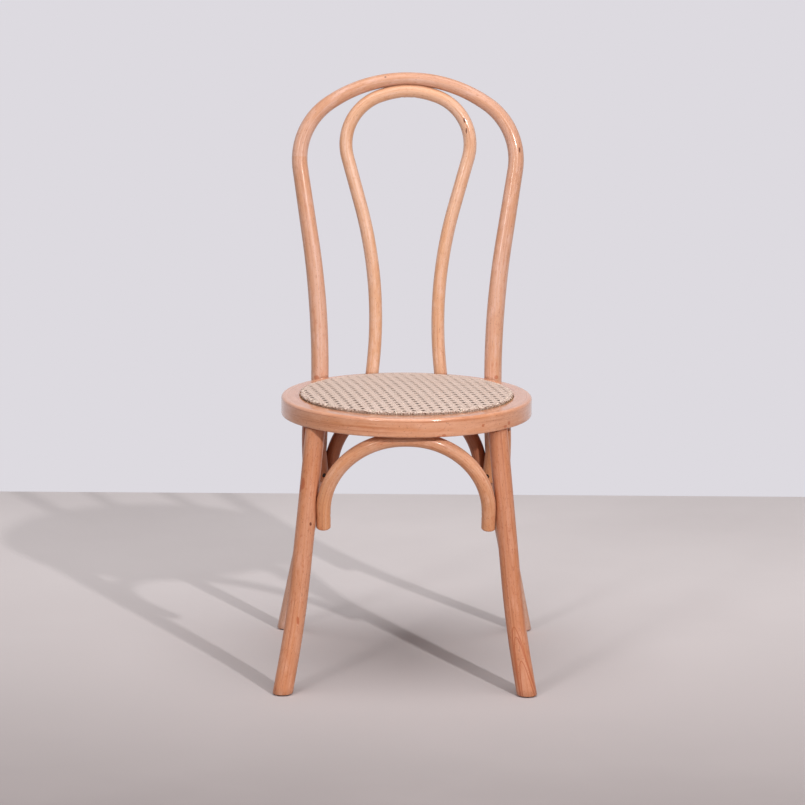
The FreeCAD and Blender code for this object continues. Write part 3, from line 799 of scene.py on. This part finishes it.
frontArchLength = archLines["front_arch"]["lengths"][-1] * mm
looks = {  # bands: start, end, fades, share and tint; knots and bruises: place, size and stretch
    "back_hoop": {
        "tone": (210, 164, 142), "coat": 0.35,
        "knots": [(-0.0375, 0.189, 0.9315, 0.0024, 0.6), (0.1815, 0.1707, 0.816, 0.0020, 4.0)],
        "bruises": [(0.147, 0.113, 0.450, 0.0050, 1.0), (-0.147, 0.1137, 0.4475, 0.006, 0.8)],
        "bands": [(1.265, 1.334, 0.05, 0.0015, 0.6, (1.10, 1.20, 1.30))]},
    "inner_back_hoop": {
        "tone": (220, 176, 150), "coat": 0.35,
        "knots": [(0.0916, 0.180, 0.8633, 0.0024, 2.6), (0.0945, 0.178, 0.846, 0.0020, 4.0),
                  (0.013, 0.180, 0.900, 0.0030, 0.6), (-0.006, 0.180, 0.902, 0.0024, 0.6)],
        "bands": [(0.46, 0.70, 0.05, 0.05, 0.45, (0.97, 0.86, 0.72))]},
    "seat_ring": {
        "tone": (212, 152, 119), "coat": 1.0, "drift": 0.014, "mottle": 0.3, "rings": 0.26,
        "bruises": [(0.0500, -0.2222, 0.4180, 0.0048, 0.5), (0.0575, -0.2205, 0.4198, 0.0042, 0.7),
                    (0.154, -0.156, 0.422, 0.0055, 0.5), (0.161, -0.149, 0.426, 0.005, 0.8),
                    (0.118, -0.189, 0.430, 0.004, 0.8)]},
    "front_leg_left": {
        "tone": (203, 143, 112), "mottle": 0.55,
        "bruises": [(-0.1635, -0.1655, 0.331, 0.0065, 2.2), (-0.167, -0.161, 0.322, 0.0055, 1.6),
                    (-0.169, -0.194, 0.115, 0.003, 4.0)],
        "knots": [(-0.1498, -0.1736, 0.2675, 0.0026, 1.6)]},
    "front_leg_right": {
        "tone": (197, 135, 104), "mottle": 0.5, "arches": (0.345, -0.004, 0.06, (0.0, 0.016, 0.055)),
        "bruises": [(0.150, -0.168, 0.405, 0.006, 2.0)]},
    "front_arch": {
        "tone": (218, 162, 130), "mottle": 0.6,
        # painted light: both ends get a deeper orange than the crown, standing in for the pale sheen the
        # upper part catches
        "bands": [(-0.02, 0.10, 0.001, 0.06, 0.8, (1.02, 0.84, 0.60)),
                  (frontArchLength - 0.06, 1.0, 0.05, 0.01, 0.6, (1.0, 0.88, 0.70))]},
    # painted shade: the rear and left arches get darker tones for the shade under the seat; the right arch
    # gets a brighter orange for the key light falling on it
    "rear_arch": {"tone": (168, 104, 74)},
    "left_arch": {"tone": (176, 112, 80)},
    "right_arch": {"tone": (204, 140, 98)},
}
for seed, (name, look) in enumerate(looks.items()):
    piece = pieces[name]
    dress(piece, bentWood(name + "_finish", 7 + seed, look))
    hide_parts(name)
    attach(piece, body)
print("wood finished")

# Screws with slotted heads
steel = {"colour": rgb(70, 62, 58), "bright": rgb(150, 144, 138), "rust": rgb(88, 52, 34), "roughness": 0.36}


def darkSteel(name, seed):
    finish = Finish(name)
    place = finish.place()
    shift = (seed, seed * 2, seed * 3)
    worn = finish.noise(place, (700, 700, 700), shift, detail=3.0)
    dull = finish.noise(place, (160, 160, 160), shift)
    scratch = finish.noise(place, (2600, 260, 900), shift)
    colour = finish.mix(worn.between(0.52, 0.72) * 0.5, steel["colour"], steel["bright"])
    colour = finish.mix(dull.between(0.5, 0.75) * 0.5, colour, steel["rust"])
    return finish.surface({
        "Base Color": colour, "Metallic": 0.9, "Roughness": steel["roughness"] + scratch * 0.25,
        "Normal": finish.bump(0.2, 0.0001, scratch)})


def screwGroup(name, spots):
    radius, headRadius = screws["diameter"] / 2, screws["head"] / 2
    head = [screws["middle"]] + [(along, headRadius * share) for along, share in screws["dome"]]
    head += [(screws["headHeight"] * 0.55, headRadius), (screws["headHeight"], radius)]
    made = []
    for start, direction, length in spots:
        profile = head + [(length - screws["tip"], radius), (length, screws["point"])]
        screw = rod("screw", start, direction, profile, screws["sides"])
        slot = slotCutter(start, direction)
        carve(screw, [slot])
        discard([slot])
        made.append(screw)
    return joined(name, made)


def slotCutter(start, direction):
    direction = unit(direction)
    side = unit(np.cross(direction, [0.3, 0.5, 0.81]))  # no slot is square to the chair
    other = np.cross(direction, side)
    width, length, above = screws["slotWidth"], screws["head"] * 1.2, -2
    corners = [start + direction * d + side * s + other * o for d in (above, screws["slotDepth"])
               for s in (-width / 2, width / 2) for o in (-length / 2, length / 2)]
    faces = [(0, 1, 3, 2), (4, 6, 7, 5), (0, 4, 5, 1), (2, 3, 7, 6), (0, 2, 6, 4), (1, 5, 7, 3)]
    return meshObject("slot", placed(corners), faces, False)


def joined(name, made):  # several meshes as one piece
    vertices, faces = [], []
    for piece in made:
        base = len(vertices)
        vertices += [tuple(vertex.co) for vertex in piece.data.vertices]
        faces += [[base + index for index in polygon.vertices] for polygon in piece.data.polygons]
    discard(made)
    return meshObject(name, vertices, faces)


for seed, (name, spots) in enumerate(screwSets.items()):
    piece = screwGroup(name + "_slotted", spots)
    dress(piece, darkSteel(name + "_finish", seed + 1))
    sharp = piece.modifiers.new("edges", "EDGE_SPLIT")
    sharp.split_angle = math.radians(screws["sharpAngle"])
    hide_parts(name)
    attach(piece, body)
plainSteel = ["inner_hoop_foot_screws", "leg_lock_screws", "seat_board_screws", "post_bolts", "post_washers",
              "post_nuts"]
for seed, name in enumerate(plainSteel):
    dress(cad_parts[name], darkSteel(name + "_finish", 11 + seed))
print("screws made")


# Glides
def nylon(name):
    finish = Finish(name)
    place = finish.place()
    grit = finish.noise(place, (900, 900, 900), detail=4.0)
    worn = finish.noise(place, (140, 140, 140))
    colour = finish.mix(worn.between(0.4, 0.7), rgb(58, 48, 42), rgb(86, 74, 66))
    colour = finish.mix(grit.between(0.58, 0.7) * 0.4, colour, rgb(120, 108, 98))
    return finish.surface({"Base Color": colour, "Roughness": 0.55 + grit * 0.2,
                           "Normal": finish.bump(0.3, 0.0002, grit)})


glideFinish = nylon("glide_finish")
for name in ("front_left_glide", "front_right_glide", "rear_left_glide", "rear_right_glide"):
    dress(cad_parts[name], glideFinish)


# Plywood board under the seat
def plywood(name):
    finish = Finish(name)
    place = finish.place()
    up = finish.parts(place)[2]
    warp = finish.noise(place, (4, 14, 4), detail=3.0)
    bands = finish.add("ShaderNodeTexWave", {"bands_direction": "X"}, {
        "Vector": finish.stretch(place, (34, 3, 1)), "Scale": 1.0, "Distortion": 9.0, "Detail": 3.0,
        "Detail Scale": 1.4}, "Fac")
    fibres = finish.noise(place, (1300, 26, 1300), detail=4.0, roughness=0.65)
    plies = (up * (2 * math.pi / 0.0028)).sine().between(-0.1, 0.1)
    colour = finish.mix(bands.between(0.3, 0.8) * 0.5, rgb(208, 170, 128), rgb(184, 138, 94))
    colour = finish.mix(fibres.between(0.5, 0.7) * 0.4, colour, rgb(150, 104, 66))
    colour = finish.mix(plies * 0.25 + warp * 0.1, colour, rgb(132, 88, 56))
    return finish.surface({"Base Color": colour, "Roughness": 0.6 + fibres * 0.15,
                           "Normal": finish.bump(0.25, 0.0003, fibres)})


dress(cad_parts["seat_board"], plywood("seat_board_finish"))

# Pad under the cane
pad = {"radius": 165.5, "bottom": 445.0, "edge": 450.3, "crown": 455.6, "rings": 46, "spokes": 180,
       "edgeRound": ((0.6, 0.5), (0.0, 1.3)), "footRound": ((0.4, 0.4), (1.2, 0.0)), "dent": 0.35, "seed": 9}


def padProfile():
    radius, rings, crown = pad["radius"], pad["rings"], pad["crown"] - pad["edge"]
    shares = [row / rings for row in range(1, rings)]
    profile = [(radius * share, pad["edge"] + crown * (1 - share ** 2)) for share in shares]
    profile += [(radius - inward, pad["edge"] - down) for inward, down in pad["edgeRound"]]
    return profile + [(radius - inward, pad["bottom"] + up) for inward, up in pad["footRound"]]


def seatPad(name):
    draw = random.Random(pad["seed"])
    vertices = [(0, 0, pad["crown"])]
    waves = [(draw.uniform(0.02, 0.06), draw.uniform(0.02, 0.06), draw.uniform(0, 6)) for _ in range(5)]
    spokes, profile = pad["spokes"], padProfile()
    for radius, height in profile:
        for index in range(spokes):
            angle = 2 * math.pi * index / spokes
            x, y = radius * math.cos(angle), radius * math.sin(angle)
            lump = sum(math.sin(x * a + y * b + c) for a, b, c in waves) / len(waves)
            dent = pad["dent"] * (1 + lump) if height > pad["edge"] else 0
            vertices.append((x, y, height - dent))
    faces = [(0, 1 + index, 1 + (index + 1) % spokes) for index in range(spokes)]
    faces += [(a, d, c, b) for a, b, c, d in tubeFaces(1, len(profile), spokes)]  # facing outwards
    hub = len(vertices)
    vertices.append((0, 0, pad["bottom"]))
    last = 1 + (len(profile) - 1) * spokes
    faces += [(last + (index + 1) % spokes, last + index, hub) for index in range(spokes)]
    return meshObject(name, placed(vertices), faces)


def felt(name):
    finish = Finish(name)
    place = finish.place()
    fuzz = finish.noise(place, (1800, 1800, 1800), detail=4.0, roughness=0.7)
    patch = finish.noise(place, (60, 60, 60), detail=3.0)
    colour = finish.mix(fuzz.between(0.35, 0.7), rgb(208, 183, 168), rgb(222, 200, 186))
    colour = finish.mix(patch.between(0.4, 0.7) * 0.4, colour, rgb(160, 126, 104))
    return finish.surface({"Base Color": colour, "Roughness": 0.95, "Sheen Weight": 0.2,
                           "Normal": finish.bump(0.6, 0.0006, fuzz)})


padPiece = seatPad("seat_pad_felt")
dress(padPiece, felt("seat_pad_finish"))
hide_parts("seat_pad")
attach(padPiece, body)
print("pad made")

# Woven cane: upright and level pairs, and two slanting sets that leave eight-sided holes
cane = {"pitch": 15.0, "pair": 2.2, "width": 4.2, "slantWidth": 5.4, "widthSpread": (0.9, 1.05),
        "thickness": 0.62, "radius": 169.2, "edgeTop": 452.0, "crown": 5.0, "domeRadius": 170.0,
        "turn": -12.0, "pairLift": 0.10, "slantLift": 0.20, "step": 2.5, "fold": 5.0, "foldDrop": 2.2,
        "dropSpread": (0.75, 1.1), "ragged": 1.0, "shortest": 9.0, "sway": 0.12, "swayTurn": 0.35,
        "section": [(-0.5, -0.1), (-0.36, 0.38), (0.0, 0.5), (0.36, 0.38), (0.5, -0.1), (0.3, -0.5),
                    (-0.3, -0.5)], "seed": 12}
tips = {"count": 560, "length": (4.5, 8.5), "width": (1.2, 2.5), "drop": (3.4, 4.9), "out": (-0.3, 0.5),
        "spread": (-0.4, 0.4), "slew": (-42, 42), "sink": 0.35, "rise": 0.15, "narrowing": 0.55,
        "halfThickness": 0.26, "steps": 6}


def domeHeight(x, y):
    return cane["edgeTop"] + cane["crown"] * (1 - (x * x + y * y) / cane["domeRadius"] ** 2)


def pairWave(value):  # over one strand of the pair that is crossed, and under the other
    value = (value + cane["pitch"] / 2) % cane["pitch"] - cane["pitch"] / 2
    fade = np.clip((2.6 * cane["pair"] - np.abs(value)) / (1.6 * cane["pair"]), 0, 1)
    return np.sin(math.pi * value / (2 * cane["pair"])) * fade * fade * (3 - 2 * fade)


def strandPoints(kind, offset, sign, low, high):
    count = max(3, math.ceil((high - low) / cane["step"]))
    along = np.linspace(low, high, count + 1)
    turn = 2 * math.pi / cane["pitch"]
    if kind == "upright":
        x, y, lift = np.full_like(along, offset), along, sign * cane["pairLift"] * pairWave(along)
    elif kind == "level":
        x, y, lift = along, np.full_like(along, offset), -sign * cane["pairLift"] * pairWave(along)
    elif kind == "rising":
        x, y = (along - offset) / math.sqrt(2), (along + offset) / math.sqrt(2)
        lift = cane["slantLift"] * np.cos(turn * x)
    else:
        x, y = (along + offset) / math.sqrt(2), (-along + offset) / math.sqrt(2)
        lift = -cane["slantLift"] * np.cos(turn * x)
    return x, y, lift


def strand(kind, offset, sign, draw):
    half = math.sqrt(cane["radius"] ** 2 - offset ** 2)
    if half < cane["shortest"]:
        return None
    low, high = -half + draw.uniform(0, cane["ragged"]), half - draw.uniform(0, cane["ragged"])
    x, y, lift = strandPoints(kind, offset, sign, low, high)
    wobble = draw.uniform(0, 6)
    beyond = np.clip((np.hypot(x, y) - (cane["radius"] - cane["fold"])) / cane["fold"], 0, 1)
    top = domeHeight(x, y) - cane["slantLift"] - cane["thickness"] / 2
    z = top + lift * (1 - beyond) - cane["foldDrop"] * draw.uniform(*cane["dropSpread"]) * beyond ** 2
    sway = cane["sway"] * np.sin(np.arange(len(x)) * cane["swayTurn"] + wobble)
    points = np.stack([x, y, z], 1)
    heading = np.gradient(points, axis=0)
    heading /= np.linalg.norm(heading, axis=1)[:, None]
    side = np.cross(heading, [0, 0, 1.0])
    side /= np.linalg.norm(side, axis=1)[:, None]
    up = np.cross(side, heading)
    points = points + side * sway[:, None]
    breadth = cane["slantWidth"] if kind in ("rising", "falling") else cane["width"]
    width = breadth * draw.uniform(*cane["widthSpread"])
    section = [(a * width, b * cane["thickness"]) for a, b in cane["section"]]
    rows = np.stack([points + side * a + up * b for a, b in section], 1)
    lengths = np.concatenate([[0], np.cumsum(np.linalg.norm(np.diff(points, axis=0), axis=1))])
    return rows, lengths, section


def cutEnd(index, draw):  # a cut end of a strand that folds over the pad's edge
    spread = 2 * math.pi * (index + draw.uniform(*tips["spread"])) / tips["count"]
    slew = math.radians(draw.uniform(*tips["slew"]))
    length, width = draw.uniform(*tips["length"]), draw.uniform(*tips["width"])
    drop, out = draw.uniform(*tips["drop"]), cane["radius"] - draw.uniform(*tips["out"])
    outward = np.array([math.cos(spread), math.sin(spread), 0])
    aside = np.array([-math.sin(spread), math.cos(spread), 0])
    heading = outward * math.cos(slew) + aside * math.sin(slew)
    side = np.cross(heading, straightUp)
    rows, lengths = [], []
    for step in range(tips["steps"] + 1):
        share = step / tips["steps"]
        back = length * (1 - share)
        spot = (outward * out - heading * back) * [1, 1, 0]
        spot[2] = cane["edgeTop"] - tips["sink"] + tips["rise"] * min(back, 2) - drop * share ** 3
        up = unit(straightUp + heading * 3 * drop * share ** 2 / length)
        half = width * (1 - tips["narrowing"] * share) / 2
        section = [(-half, 0), (0, tips["halfThickness"]), (half, 0), (0, -tips["halfThickness"])]
        rows.append([spot + side * a + up * b for a, b in section])
        lengths.append(length * share)
    return rows, lengths, section


def caneStrands(draw):  # each with its place along the fibre and its shade
    pitch, reach = cane["pitch"], cane["radius"]
    jobs = []
    number = int(reach / pitch) + 1
    for index in range(-number, number + 1):
        for sign in (-1, 1):
            for kind in ("upright", "level"):
                jobs.append((kind, index * pitch + sign * cane["pair"], sign))
    slantPitch = pitch / math.sqrt(2)
    slant = int(reach / slantPitch) + 1
    for index in range(-slant, slant + 1):
        for kind in ("rising", "falling"):
            jobs.append((kind, (index + 0.5) * slantPitch, 1))
    for kind, offset, sign in jobs:
        made = strand(kind, offset, sign, draw) if abs(offset) < reach - 1 else None
        if made:
            shade = draw.random()
            yield made, draw.uniform(0, 40), shade
    for index in range(tips["count"]):
        made = cutEnd(index, draw)
        yield made, index, 1.5 + draw.random()


def wovenCane(name):
    vertices, faces, fibres, shades = [], [], [], []
    for (rows, lengths, section), start, shade in caneStrands(random.Random(cane["seed"])):
        base, size = len(vertices), len(section)
        for row, length in zip(rows, lengths):
            vertices += list(row)
            fibres += [(start + length, a, b) for a, b in section]
            shades += [shade] * size
        faces += tubeFaces(base, len(rows), size) + tubeEnds(base, len(rows), size)
    angle = math.radians(-cane["turn"])
    cosine, sine = math.cos(angle), math.sin(angle)
    x, y, z = np.array(vertices).T
    piece = meshObject(name, placed(np.stack([x * cosine - y * sine, x * sine + y * cosine, z], 1)), faces)
    setAttribute(piece.data, "fibre", "FLOAT_VECTOR", np.array(fibres) * mm)
    setAttribute(piece.data, "shade", "FLOAT", shades)
    return piece


caneLook = {"pale": rgb(212, 189, 177), "main": rgb(206, 183, 170), "brown": rgb(194, 166, 149),
            "dark": rgb(156, 124, 104), "cut": rgb(250, 232, 214), "roughness": 0.5}


def caneFinish(name):
    finish = Finish(name)
    fibre, shade = finish.read("fibre", "Vector"), finish.read("shade", "Fac")
    under = finish.parts(fibre)[2]
    shift = finish.add("ShaderNodeCombineXYZ", {}, {0: shade * 7, 1: shade * 3, 2: shade * 11})
    moved = finish.add("ShaderNodeVectorMath", {"operation": "ADD"}, {0: fibre, 1: shift})
    streaks = finish.noise(moved, (30, 2600, 2600), detail=3.0, roughness=0.6)
    patches = finish.noise(moved, (22, 60, 60), detail=3.0)
    spots = finish.noise(moved, (120, 500, 500), detail=1.0).between(0.68, 0.8)
    colour = finish.mix(shade.lower(1.0), caneLook["pale"], caneLook["main"])
    colour = finish.mix(patches.between(0.42, 0.7) * 0.35, colour, caneLook["brown"])
    colour = finish.mix(streaks.between(0.45, 0.7) * 0.3, colour, caneLook["brown"])
    colour = finish.mix(spots * 0.3, colour, caneLook["dark"])
    # painted shade: each strand is darkened towards its underside
    colour = finish.mix((1 - (under * 1000).between(-0.3, 0.1)) * 0.18, colour, caneLook["dark"])
    frayed = finish.mix((shade - 1.5).between(0.1, 0.9), caneLook["cut"], caneLook["brown"])
    colour = finish.mix(shade.between(1.2, 1.4) * 0.85, colour, frayed)
    return finish.surface({"Base Color": colour, "Roughness": caneLook["roughness"] + streaks * 0.2,
                           "Normal": finish.bump(0.35, 0.0003, streaks)})


canePiece = wovenCane("cane_seat_weave")
dress(canePiece, caneFinish("cane_finish"))
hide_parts("cane_seat")
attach(canePiece, body)
print("cane woven:", len(canePiece.data.polygons), "faces")

# Floor, background, lights and camera
# floor and floorFront are painted light: pale at the back and dark at the front
room = {"floor": rgb(246, 236, 236), "floorFront": rgb(137, 127, 126), "stain": rgb(196, 184, 184),
        "farFloor": rgb(201, 192, 193), "wall": rgb(221, 218, 224), "floorBack": 1.28, "floorReach": 14.0,
        "ambient": 0.14, "fade": (1.3, 2.6)}


def stageFloor():
    back, reach = room["floorBack"], room["floorReach"]
    corners = [(-reach, -reach, 0), (reach, -reach, 0), (reach, back, 0), (-reach, back, 0)]
    floor = meshObject("floor", corners, [(0, 1, 2, 3)])
    finish = Finish("floor_finish")
    place = finish.place()
    cloudy = finish.noise(place, (2.2, 2.2, 2.2), detail=4.0)
    # painted light: the floor's colour runs from dark at the front to pale at the back, copying how light
    # falls across it
    towards = finish.parts(place)[1].between(-1.3, 1.2)
    colour = finish.mix(towards, room["floorFront"], room["floor"])
    colour = finish.mix(cloudy.between(0.3, 0.7) * 0.14, colour, room["stain"])
    near = finish.add("ShaderNodeBsdfPrincipled", {}, {"Base Color": colour, "Roughness": 0.8})
    distance = finish.add("ShaderNodeVectorMath", {"operation": "LENGTH"}, {0: place}, "Value")
    faded = distance.between(*room["fade"]) * finish.add("ShaderNodeLightPath", {}, {}, "Is Camera Ray")
    far = finish.add("ShaderNodeEmission", {}, {"Color": room["farFloor"], "Strength": 1.0})
    dress(floor, finish.close(finish.add("ShaderNodeMixShader", {}, {0: faded, 1: near, 2: far})))


def studioWorld():  # a pale wall for the camera and in reflections, and a weak light from all round
    studio = Finish("studio", bpy.data.worlds)
    toCamera = studio.add("ShaderNodeLightPath", {}, {}, "Is Camera Ray")
    inGloss = studio.add("ShaderNodeLightPath", {}, {}, "Is Glossy Ray")
    ambient = studio.add("ShaderNodeBackground", {}, {"Color": (1, 1, 1, 1), "Strength": room["ambient"]})
    wall = studio.add("ShaderNodeBackground", {}, {"Color": room["wall"], "Strength": 1.0})
    shown = studio.add("ShaderNodeMixShader", {}, {0: toCamera.higher(inGloss), 1: ambient, 2: wall})
    return studio.close(shown, "ShaderNodeOutputWorld")


stageFloor()
bpy.context.scene.world = studioWorld()

lamps = {
    "key": {"place": (1.35, -2.68, 1.71), "size": (0.07, 0.07), "power": 55},
    "left": {"place": (-1.53, -2.75, 1.57), "size": (0.5, 0.5), "power": 15},
    "soft": {"place": (0.0, -0.8, 3.2), "size": (3.0, 2.2), "power": 71},
    "keyStrip": {"place": (1.35, -2.80, 1.75), "size": (0.10, 1.3), "power": 6},
    "leftStrip": {"place": (-1.45, -2.85, 1.75), "size": (0.10, 1.3), "power": 6},
}
seatHeight = 0.45  # the lamps aim at it
for name, settings in lamps.items():
    light = bpy.data.lights.new(name, "AREA")
    light.shape = "RECTANGLE"
    light.size, light.size_y = settings["size"]
    light.energy = settings["power"]
    lamp = bpy.data.objects.new(name, light)
    lamp.location = settings["place"]
    aim = (0, 0, settings["place"][2] if "Strip" in name else seatHeight)
    lamp.rotation_euler = (Vector(aim) - lamp.location).to_track_quat("-Z", "Y").to_euler()
    bpy.context.scene.collection.objects.link(lamp)

shot = {"distance": 6.0, "aside": -0.024, "height": 1.591, "down": 10.91, "yaw": 0.167, "roll": 0.42,
        "focal": 3830.0, "width": 805.0, "sensor": 36.0, "reach": 100}
camera = bpy.data.objects.new("camera", bpy.data.cameras.new("camera"))
camera.data.sensor_width = shot["sensor"]
camera.data.lens = shot["focal"] / shot["width"] * shot["sensor"]
camera.data.clip_end = shot["reach"]
down, yaw = math.radians(shot["down"]), math.radians(shot["yaw"])
ahead = Vector((math.sin(yaw) * math.cos(down), math.cos(yaw) * math.cos(down), -math.sin(down)))
camera.location = (shot["aside"], centreY - shot["distance"], shot["height"])
level = ahead.to_track_quat("-Z", "Y").to_matrix()
camera.rotation_euler = (level @ Matrix.Rotation(math.radians(shot["roll"]), 3, "Z")).to_euler()
bpy.context.scene.collection.objects.link(camera)
bpy.context.scene.camera = camera
bpy.context.scene.view_settings.view_transform = "Standard"
print("stage set")
